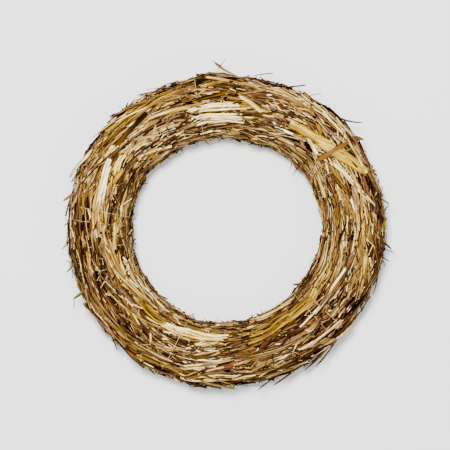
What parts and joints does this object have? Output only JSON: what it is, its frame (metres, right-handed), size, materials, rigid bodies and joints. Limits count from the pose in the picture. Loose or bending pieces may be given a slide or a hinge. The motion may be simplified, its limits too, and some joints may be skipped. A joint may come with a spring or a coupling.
{
  "type": "wreath frame",
  "caption": "Round straw wreath form: a padded ring of packed straw bound with thread, which flowers and greenery are pinned or wired to.",
  "frame": {"origin": "centre of the ring, on the surface that the pressed underside lies on", "axes": "+Z along the ring's axis, from the pressed underside to the face; +Y to the top of the wreath as it hangs; +X to the right as the face is seen"},
  "size_m": [0.3027, 0.3027, 0.0587],
  "materials": {
    "packed_straw": "matte",
    "straw": "satin",
    "pale_straw": "satin",
    "golden_straw": "satin",
    "leaf_sheath": "matte",
    "thread": "satin"
  },
  "bodies": {
    "root": {"straw_handful_1": "packed_straw", "straw_handful_2": "packed_straw", "straw_handful_3": "packed_straw", "straw_handful_4": "packed_straw", "straw_handful_5": "packed_straw", "straw_handful_6": "packed_straw", "straw_handful_7": "packed_straw", "straw_handful_8": "packed_straw", "straw_handful_9": "packed_straw", "straw_handful_10": "packed_straw", "straw_handful_11": "packed_straw", "straw_handful_12": "packed_straw", "straw_handful_13": "packed_straw", "straw_handful_14": "packed_straw", "straw_handful_15": "packed_straw", "straw_handful_16": "packed_straw", "lower_outer_stalks": "straw", "upper_outer_stalks": "straw", "crown_stalks": "straw", "upper_inner_stalks": "straw", "lower_inner_stalks": "straw", "pale_split_stalks": "pale_straw", "golden_split_stalks": "golden_straw", "sheathed_stalks": "straw", "leaf_sheaths": "leaf_sheath", "binding_thread": "thread", "thread_start_knot": "thread", "thread_end_knot": "thread"}
  },
  "joints": []
}
